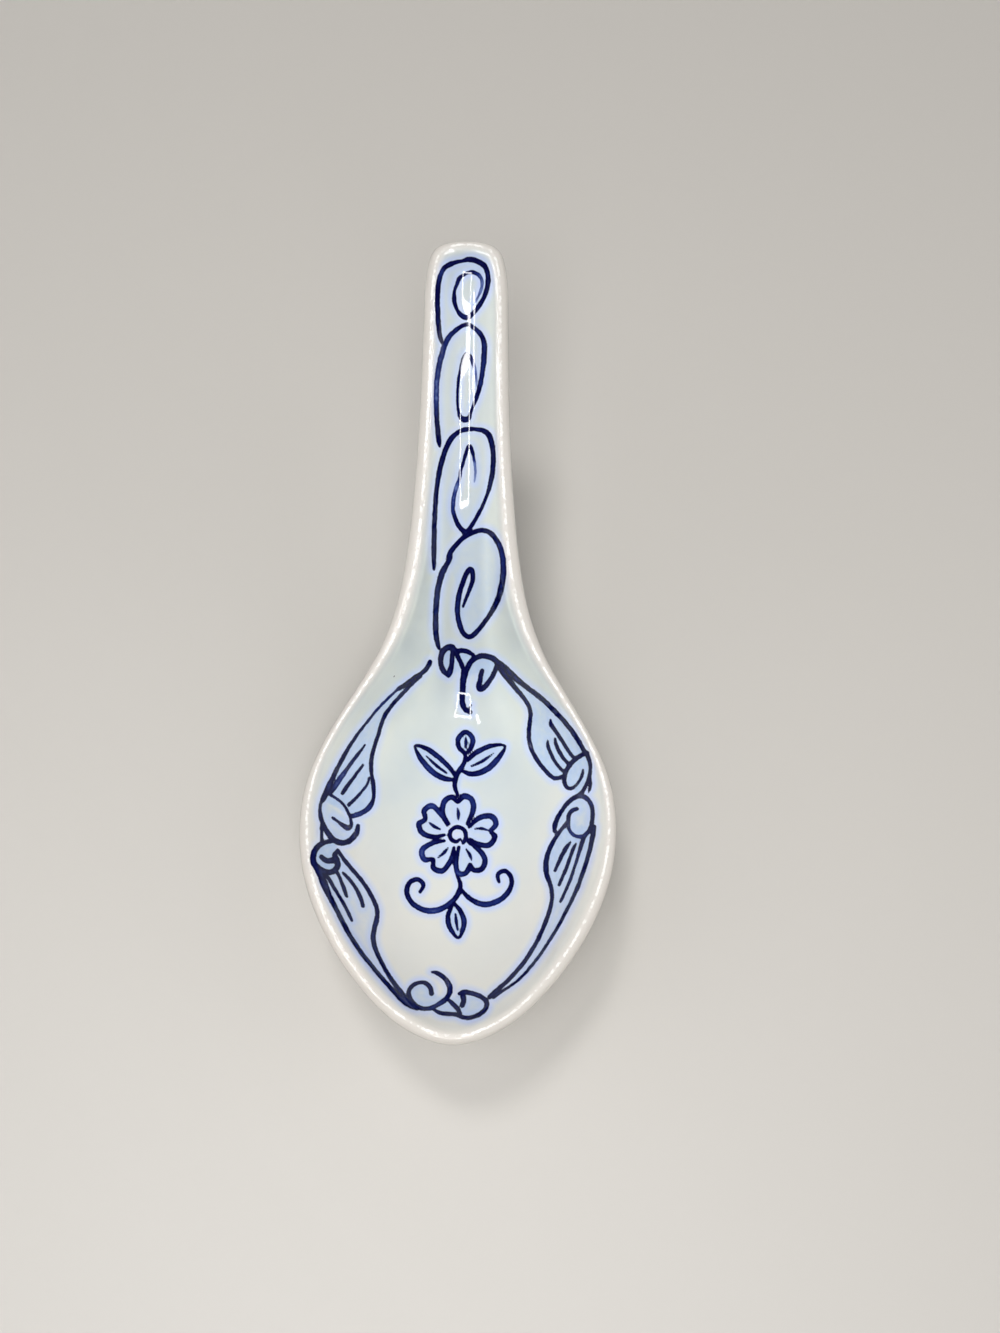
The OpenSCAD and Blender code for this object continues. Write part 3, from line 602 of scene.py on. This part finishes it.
def paint(points):
    """Distance in pixels to the nearest line, below 0 inside it, with its darkness and the wash."""
    at = pixels(points)
    line_gap = np.full(len(at), FAR)
    ink = np.zeros(len(at))
    wash = np.zeros(len(at))
    for stroke in STROKES.values():
        line = smooth_curve(stroke)
        for part in batches(at, line[:, :2].min(0), line[:, :2].max(0), BRUSH_REACH):
            gap, t = to_segments(at[part], line[:-1, :2], line[1:, :2])
            gap = gap - 0.5 * (line[:-1, 2] + (line[1:, 2] - line[:-1, 2]) * t)
            best = gap.argmin(1)
            rows = np.arange(len(part))
            nearest, share = gap[rows, best], t[rows, best]
            dark = line[best, 3] + (line[best + 1, 3] - line[best, 3]) * share
            closer = nearest < line_gap[part]
            line_gap[part[closer]] = nearest[closer]
            ink[part[closer]] = dark[closer]
    for top, foot, names in WASHES:
        runs = []
        for name in names:
            line = smooth_curve(STROKES[name.lstrip("-")])[:, :2]
            runs.append(line[::-1] if name.startswith("-") else line)
        outline = np.concatenate(runs)
        start, end = outline, np.roll(outline, -1, 0)
        run, rise = (end - start).T
        rise = np.where(rise == 0, TINY, rise)
        for part in batches(at, outline.min(0), outline.max(0), WASH_REACH):
            gap, _ = to_segments(at[part], start, end)
            x, y = at[part, 0, None], at[part, 1, None]
            cross = start[:, 0] + (y - start[:, 1]) * run / rise
            odd = (((start[:, 1] > y) != (end[:, 1] > y)) & (x < cross)).sum(1) % 2 == 1
            signed = np.where(odd, -1, 1) * gap.min(1)
            strength = np.interp(at[part, 1], (outline[:, 1].min(), outline[:, 1].max()), (top, foot))
            wash[part] = np.maximum(wash[part], strength * np.clip(0.5 - signed / WASH_FADE, 0, 1))
    return line_gap, ink, wash


def body_piece(name, half, node, material):
    """Half the body as a piece, with what its material needs to know at each point."""
    points, rings, normals = half.points, half.rings, half.normals
    mesh = bpy.data.meshes.new(name)
    faces = [tuple(q) for q in half.quads.tolist()] + [tuple(half.loop.tolist())]
    mesh.from_pydata((points * MM).tolist(), [], faces)
    mesh.update()
    mesh.shade_smooth()
    mesh.normals_split_custom_set_from_vertices(normals.tolist())
    inside = rings <= INNER_RINGS + RIM_RINGS // 2
    values = {"line_mm": np.full(len(points), FAR * PIXEL), "ink": np.zeros(len(points)),
              "wash": np.zeros(len(points))}
    gap, ink, wash = paint(points[inside])
    values["line_mm"][inside], values["ink"][inside], values["wash"][inside] = gap * PIXEL, ink, wash
    middle = INNER_RINGS + RIM_RINGS / 2
    values["rim"] = np.clip(1 - np.abs(rings - middle) / (RIM_RINGS * RIM_FADE), 0, 1)
    crest_ring = INNER_RINGS + RIM_RINGS * (math.pi / 2 - WALL_LEAN) / math.pi
    # Steep walls that don't face the tip are marked for painted light, which lifts their shade in the
    # glaze's colour.
    facing = -normals[:, 1] / np.maximum(np.hypot(normals[:, 0], normals[:, 1]), TINY)
    steep_painted_light = (1 - np.abs(normals[:, 2])) * np.interp(facing, FACING_TIP, (1, 0))
    values["steep_painted_light"] = np.where(rings <= crest_ring, steep_painted_light, np.minimum(steep_painted_light, RIM_LIGHT_LIFT))
    ring_mm = math.pi * RIM_RADIUS / RIM_RINGS
    values["crest_mm"] = np.minimum(np.abs(rings - crest_ring) * ring_mm, CREST_REACH)
    for key, value in values.items():
        mesh.attributes.new(key, "FLOAT", "POINT").data.foreach_set("value", value.astype(np.float32))
    mesh.materials.append(material)
    piece = bpy.data.objects.new(name, mesh)
    bpy.context.scene.collection.objects.link(piece)
    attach(piece, "root")
    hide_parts(node)


# Materials.
def srgb(red, green, blue):
    """An sRGB colour of 0 to 255 as Blender's linear one."""
    def linear(c):
        c /= 255
        return c / 12.92 if c <= 0.04045 else ((c + 0.055) / 1.055) ** 2.4
    return (linear(red), linear(green), linear(blue), 1.0)


class Nodes:
    """Short calls for a material's nodes."""

    def __init__(self, name):
        self.material = bpy.data.materials.new(name)
        self.material.use_nodes = True
        self.tree = self.material.node_tree
        self.shader = self.tree.nodes["Principled BSDF"]

    def add(self, kind, settings=None, **inputs):
        node = self.tree.nodes.new("ShaderNode" + kind)
        for key, value in (settings or {}).items():
            setattr(node, key, value)
        for key, value in inputs.items():
            self.put(node.inputs[key.replace("_", " ")], value)
        return node

    def put(self, socket, value):
        if isinstance(value, bpy.types.NodeSocket):
            self.tree.links.new(value, socket)
        else:
            socket.default_value = value

    def attribute(self, name):
        return self.add("Attribute", {"attribute_name": name}).outputs["Fac"]

    def math(self, operation, a, b=0.0, c=0.0):
        node = self.add("Math", {"operation": operation})
        for socket, value in zip(node.inputs, (a, b, c)):
            self.put(socket, value)
        return node.outputs[0]

    def ramp(self, value, low, high, start=0.0, end=1.0, soft=True):
        """value from low to high as start to end."""
        node = self.add("MapRange", {"interpolation_type": "SMOOTHSTEP" if soft else "LINEAR"},
                        Value=value, From_Min=low, From_Max=high, To_Min=start, To_Max=end)
        return node.outputs[0]

    def mix(self, share, a, b, blend="MIX"):
        node = self.add("Mix", {"data_type": "RGBA", "blend_type": blend})
        self.put(node.inputs[0], share)
        self.put(node.inputs[6], a)
        self.put(node.inputs[7], b)
        return node.outputs[2]

    def noise(self, place, scale, detail=2.0, rough=0.5):
        return self.add("TexNoise", Vector=place, Scale=scale, Detail=detail, Roughness=rough).outputs[0]

    def spread(self, noise, start, end):
        """A noise's usual values as start to end."""
        return self.ramp(noise, *USUAL_NOISE, start, end, False)


GLAZE = srgb(209, 215, 212)
GLAZE_WARM = srgb(226, 224, 216)
GLAZE_POOL = srgb(202, 210, 211)
# The rim's thin glaze, partly painted shade: a tone that keeps the rim, which catches the most light, level
# with the walls.
RIM_GLAZE_AND_SHADE = srgb(221, 215, 208)
# painted highlight along the rim's crest
CREST_PAINTED_HIGHLIGHT = srgb(252, 250, 246)
PINHOLE = srgb(70, 62, 60)
PINHOLES = [(-10.29, -2.49, 0.14), (3.0, -34.44, 0.11)]     # mm: place in plan and radius
COBALT_WASH = srgb(174, 195, 224)
COBALT_HALO = srgb(194, 208, 243)
COBALT_PALE = srgb(112, 132, 190)
COBALT_MIDDLE = srgb(28, 42, 108)
COBALT_DARK = srgb(0, 1, 58)
CLAY_DARK = srgb(196, 184, 166)
CLAY_PALE = srgb(226, 216, 200)
CLAY_STAIN = srgb(178, 150, 120)
CLAY_GLAZED = (0.00055, 0.0007)     # m over the table, where the bare clay gives way to glaze
WARM_GLAZE = (-0.012, -0.042)       # m along the spoon, from the first of the warm glaze to all of it
WARM_WALL = 0.01                    # m that the warm glaze reaches further on a steep wall
STEEP_LIGHT_RAMP = (0.04, 0.6)                 # steepness, from the first of a wall's painted light to all of it
STEEP_LIGHT_COOL = (1.36, 1.33, 1.26, 1)  # painted light: how much brighter a steep wall is coloured, to lift its shade
# the same painted light on a steep wall where the glaze is warm
STEEP_LIGHT_WARM = (1.18, 1.17, 1.18, 1)
BLEED_REACH = 1.4                   # mm beside a line that its blue bleeds out
BLEED = 0.82                        # share of the blue where it touches the line
LINE_EDGE = (0.098, -0.034)         # mm beside a line's edge, from bare glaze to full cover
LINE_MIDDLE = (-0.12, -0.4)         # mm inside a line's edge, from its dark edge to its paler middle
CREST_HIGHLIGHT_EDGE = (0.26, 0.1)            # mm beside the rim's crest, from bare glaze to the painted highlight line
GLAZE_IOR = 1.28
GLAZE_ROUGHNESS = (0.025, 0.045)
WAVE_HEIGHT = 0.00015               # m
PIT_HEIGHT = 0.00012                # m
# Scales of the noise, in grains to a metre, and the values between which most of it lies.
WAVE, CLOUD, STAIN, GRAIN, PITS, FINE, CLAY_GRAIN = 120, 90, 260, 900, 1500, 2600, 3000
USUAL_NOISE = (0.3, 0.7)
FLOOR_COLOUR = srgb(200, 196, 190)
BACKDROP_COLOUR = (1, 0.98, 0.95, 1)


def porcelain():
    n = Nodes("glazed_porcelain")
    place = n.add("TexCoord").outputs["Object"]
    cloud = n.noise(place, CLOUD, 3)
    grain = n.noise(place, GRAIN, 2)
    fine = n.noise(place, FINE, 2)

    # The clear glaze: cool along the handle and warmer towards the bowl's tip.
    steep_painted_light = n.ramp(n.attribute("steep_painted_light"), *STEEP_LIGHT_RAMP)
    along = n.add("SeparateXYZ", Vector=place).outputs["Y"]
    warm = n.ramp(n.math("SUBTRACT", along, n.math("MULTIPLY", steep_painted_light, WARM_WALL)), *WARM_GLAZE)
    base = n.mix(n.ramp(cloud, 0.35, 0.7), GLAZE, GLAZE_POOL)
    base = n.mix(n.math("MULTIPLY", warm, n.ramp(cloud, 0.2, 0.8, 1.0, 0.8)), base, GLAZE_WARM)

    # The blue that bleeds out beside each line and the thin washes. All of it is coloured brighter on the
    # steep walls that don't face the tip, as painted light that lifts their shade.
    gap = n.attribute("line_mm")
    bleed = n.math("MULTIPLY", n.ramp(gap, BLEED_REACH, 0.0, 0.0, BLEED), n.ramp(cloud, 0.2, 0.8, 0.7, 1.15))
    wash = n.math("MULTIPLY", n.attribute("wash"), n.ramp(grain, 0.25, 0.75, 0.72, 1.12))
    colour = n.mix(bleed, base, COBALT_HALO)
    colour = n.mix(wash, colour, COBALT_WASH)
    colour = n.mix(steep_painted_light, colour, n.mix(warm, STEEP_LIGHT_COOL, STEEP_LIGHT_WARM), "MULTIPLY")

    # The rim, with a broken painted highlight along its crest.
    rim = n.attribute("rim")
    # Thin glaze on the rim, partly painted shade against the light its top catches.
    colour = n.mix(n.ramp(rim, 0.1, 0.8, 0.0, 0.9), colour, RIM_GLAZE_AND_SHADE)
    crest = n.math("ADD", n.attribute("crest_mm"), n.spread(fine, -0.08, 0.08))
    broken_highlight = n.ramp(n.noise(place, GRAIN, 3), 0.4, 0.56, 0.15, 1.0)
    line = n.math("MULTIPLY", n.ramp(crest, *CREST_HIGHLIGHT_EDGE), broken_highlight)
    colour = n.mix(line, colour, CREST_PAINTED_HIGHLIGHT)

    # The lines: ragged at the edge, dark where the brush pressed and streaked where it ran dry.
    ragged = n.math("ADD", gap, n.spread(grain, -0.045, 0.045))
    ragged = n.math("ADD", ragged, n.spread(fine, -0.02, 0.02))
    cover = n.ramp(ragged, *LINE_EDGE)
    ink = n.attribute("ink")
    middle = n.ramp(gap, *LINE_MIDDLE, 0.0, 0.16)
    dark = n.math("SUBTRACT", ink, middle)
    dark = n.math("ADD", dark, n.spread(grain, -0.13, 0.1))
    line = n.mix(n.ramp(dark, 0.15, 0.62), COBALT_PALE, COBALT_MIDDLE)
    line = n.mix(n.ramp(dark, 0.55, 0.95), line, COBALT_DARK)
    cover = n.math("MULTIPLY", cover, n.ramp(ink, 0.1, 0.45, 0.55, 1.0))
    colour = n.mix(cover, colour, line)
    for x, y, radius in PINHOLES:
        centre = (x * MM, y * MM, float(inner_z(np.array(x), np.array(y))) * MM)
        away = n.add("VectorMath", {"operation": "DISTANCE"}, Vector=place)
        away.inputs[1].default_value = centre
        spot = n.ramp(away.outputs["Value"], 1.5 * radius * MM, 0.7 * radius * MM, 0.0, 0.8)
        colour = n.mix(spot, colour, PINHOLE)
    n.put(n.shader.inputs["Base Color"], colour)

    n.put(n.shader.inputs["Roughness"], n.ramp(grain, *USUAL_NOISE, *GLAZE_ROUGHNESS))
    n.shader.inputs["IOR"].default_value = GLAZE_IOR
    wave = n.add("Bump", Strength=0.4, Distance=WAVE_HEIGHT, Height=n.noise(place, WAVE, 1))
    pits = n.math("MULTIPLY", n.noise(place, PITS, 2, 0.6), n.ramp(rim, 0.0, 0.6, 0.03, 1.0))
    skin = n.add("Bump", Strength=0.35, Distance=PIT_HEIGHT, Height=pits, Normal=wave.outputs[0])
    n.put(n.shader.inputs["Normal"], skin.outputs[0])
    return n.material


def bare_clay():
    n = Nodes("bare_porcelain")
    place = n.add("TexCoord").outputs["Object"]
    height = n.add("SeparateXYZ", Vector=place).outputs["Z"]
    grain = n.noise(place, CLAY_GRAIN, 4, 0.7)
    stain = n.noise(place, STAIN, 4)
    clay = n.mix(n.ramp(grain, *USUAL_NOISE), CLAY_DARK, CLAY_PALE)
    clay = n.mix(n.ramp(stain, 0.5, 0.75, 0.0, 0.6), clay, CLAY_STAIN)
    edge = n.math("ADD", height, n.spread(stain, -0.00012, 0.00012))
    glazed = n.ramp(edge, *CLAY_GLAZED)
    n.put(n.shader.inputs["Base Color"], n.mix(glazed, clay, GLAZE))
    n.put(n.shader.inputs["Roughness"], n.ramp(glazed, 0, 1, 0.85, 0.07))
    rough = n.math("MULTIPLY", grain, n.ramp(glazed, 0, 1, 1.0, 0.1))
    bump = n.add("Bump", Strength=0.5, Distance=0.0001, Height=rough)
    n.put(n.shader.inputs["Normal"], bump.outputs[0])
    return n.material


glaze = porcelain()
body_piece("bowl_body", bowl, "bowl", glaze)
body_piece("handle_body", handle, "handle", glaze)

# The foot ring.
FOOT_SIDES = 240
# Profile from the outside of the band to its inside: share of the band's width, height in mm.
FOOT_PROFILE = [(-0.26, 2.1), (-0.2, 1.82), (-0.1, 1.5), (-0.02, 1.15), (0, 0.8), (0.01, 0.5), (0.05, 0.26),
                (0.13, 0.08), (0.26, 0), (0.5, 0), (0.74, 0), (0.87, 0.08), (0.95, 0.26), (0.99, 0.5),
                (1, 0.8), (1.02, 1.15), (1.1, 1.5), (1.2, 1.82), (1.26, 2.1)]


def foot_piece():
    middle = FOOT_PLACE_SHARE * SPOON_LENGTH / 2
    ways = np.linspace(0, 2 * math.pi, FOOT_SIDES, endpoint=False)
    rings = []
    for share, z in FOOT_PROFILE:
        inset = share * FOOT_BAND
        x = (FOOT_WIDTH / 2 - inset) * np.cos(ways)
        y = middle + (FOOT_LENGTH / 2 - inset) * np.sin(ways)
        rings.append(np.stack([x, y, np.full(FOOT_SIDES, z)], 1))
    points = np.concatenate(rings)
    count = len(FOOT_PROFILE)
    faces = []
    for i in range(count):
        j = (i + 1) % count
        for a in range(FOOT_SIDES):
            b = (a + 1) % FOOT_SIDES
            faces.append((i * FOOT_SIDES + a, j * FOOT_SIDES + a, j * FOOT_SIDES + b, i * FOOT_SIDES + b))
    mesh = bpy.data.meshes.new("foot_band")
    mesh.from_pydata((points * MM).tolist(), [], faces)
    mesh.update()
    mesh.shade_smooth()
    mesh.materials.append(bare_clay())
    piece = bpy.data.objects.new("foot_band", mesh)
    bpy.context.scene.collection.objects.link(piece)
    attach(piece, "root")
    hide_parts("foot_ring")


foot_piece()

# Floor, lights and camera.
FLOOR_HALF = 3.0                    # m
FLOOR_FADE = (0.3, 1.5)             # m from the spoon, where the floor turns as pale as the backdrop
FLOOR_GLOW = 0.4


def stage_floor():
    mesh = bpy.data.meshes.new("floor")
    h = FLOOR_HALF
    mesh.from_pydata([(-h, -h, 0), (h, -h, 0), (h, h, 0), (-h, h, 0)], [], [(0, 1, 2, 3)])
    floor = bpy.data.objects.new("floor", mesh)
    n = Nodes("floor")
    n.shader.inputs["Base Color"].default_value = FLOOR_COLOUR
    # Far from the spoon the floor shows as pale as the backdrop, without lighting anything.
    place = n.add("TexCoord").outputs["Object"]
    away = n.add("VectorMath", {"operation": "LENGTH"}, Vector=place).outputs["Value"]
    seen = n.add("LightPath").outputs["Is Camera Ray"]
    n.shader.inputs["Emission Color"].default_value = BACKDROP_COLOUR
    glow = n.math("MULTIPLY", n.ramp(away, *FLOOR_FADE, 0.0, FLOOR_GLOW), seen)
    n.put(n.shader.inputs["Emission Strength"], glow)
    n.shader.inputs["Roughness"].default_value = 0.6
    mesh.materials.append(n.material)
    bpy.context.scene.collection.objects.link(floor)


def area_light(name, place, aim, width, height, power):
    lamp = bpy.data.lights.new(name, "AREA")
    lamp.shape = "RECTANGLE"
    lamp.size, lamp.size_y, lamp.energy = width, height, power
    light = bpy.data.objects.new(name, lamp)
    light.location = place
    light.rotation_euler = (Vector(aim) - Vector(place)).to_track_quat("-Z", "Y").to_euler()
    light.visible_camera = False
    bpy.context.scene.collection.objects.link(light)
    return light


def sky(strength, backdrop):
    """Even light of one strength on the object, and of another behind it as the camera sees it."""
    world = bpy.data.worlds.new("studio")
    bpy.context.scene.world = world
    world.use_nodes = True
    nodes, links = world.node_tree.nodes, world.node_tree.links
    path, level = nodes.new("ShaderNodeLightPath"), nodes.new("ShaderNodeMapRange")
    level.inputs["To Min"].default_value, level.inputs["To Max"].default_value = strength, backdrop
    links.new(path.outputs["Is Camera Ray"], level.inputs["Value"])
    nodes["Background"].inputs["Color"].default_value = BACKDROP_COLOUR
    links.new(level.outputs["Result"], nodes["Background"].inputs["Strength"])


def frame_light(name, place, aim, width, height, band, power):
    """Four strips round a rectangle that faces aim, as a light panel's bright rim."""
    way = (Vector(aim) - Vector(place)).to_track_quat("-Z", "Y")
    share = power / (2 * band * (width + height))
    strips = [(0, side * height / 2, width + band, band) for side in (1, -1)]
    strips += [(side * width / 2, 0, band, height - band) for side in (1, -1)]
    for i, (x, y, w, h) in enumerate(strips):
        strip = area_light(f"{name}_{i}", place, aim, w, h, share * w * h)
        strip.visible_diffuse = False
        strip.location = Vector(place) + way @ Vector((x, y, 0))
        strip.rotation_euler = way.to_euler()


# Soft lamps that light the spoon without showing in its glaze: name, place, size in m, watts.
SOFT_LAMPS = [
    ("key", (-0.16, 0.3, 0.95), 0.2, 2.7),
    ("front_fill", (0.1, -0.85, 0.8), 0.7, 1.7),
    ("left_fill", (-0.85, 0, 0.8), 0.7, 1.4),
    ("right_fill", (0.85, 0, 0.8), 0.7, 1.7),
    ("front_panel", (-0.02, -0.18, 0.45), 0.2, 1.05),
]
LAMP_AIM = (0, 0, 0.01)
SKY_STRENGTH = 0.17
BACKDROP_STRENGTH = 0.5

stage_floor()
sky(SKY_STRENGTH, BACKDROP_STRENGTH)
for name, place, size, power in SOFT_LAMPS:
    area_light(name, place, LAMP_AIM, size, size, power).visible_glossy = False
# Lights that show in the glaze alone: the outline of a panel, and a small one beside it.
frame_light("front_frame", (-0.02, -0.18, 0.45), (0, 0.01, 0.03), width=0.2, height=0.27, band=0.022,
            power=4.2)
area_light("spark", (-0.26, -0.06, 0.49), LAMP_AIM, 0.07, 0.07, 0.9).visible_diffuse = False

lens = bpy.data.cameras.new("camera")
lens.sensor_fit = "VERTICAL"
lens.sensor_height = SENSOR
lens.lens = VIEW_FOCAL * SENSOR / PICTURE_HEIGHT
lens.clip_start = NEAR_CLIP
camera = bpy.data.objects.new("camera", lens)
side = np.cross(VIEW_UP, VIEW_BACK)
turn = Matrix([[side[i], VIEW_UP[i], VIEW_BACK[i]] for i in range(3)]).to_4x4()
camera.matrix_world = (Matrix.Translation(Vector((VIEW_TARGET + VIEW_BACK * VIEW_DISTANCE) * MM))
                       @ turn @ Matrix.Rotation(VIEW_ROLL, 4, "Z"))
bpy.context.scene.collection.objects.link(camera)
bpy.context.scene.camera = camera
bpy.context.scene.view_settings.view_transform = "Standard"
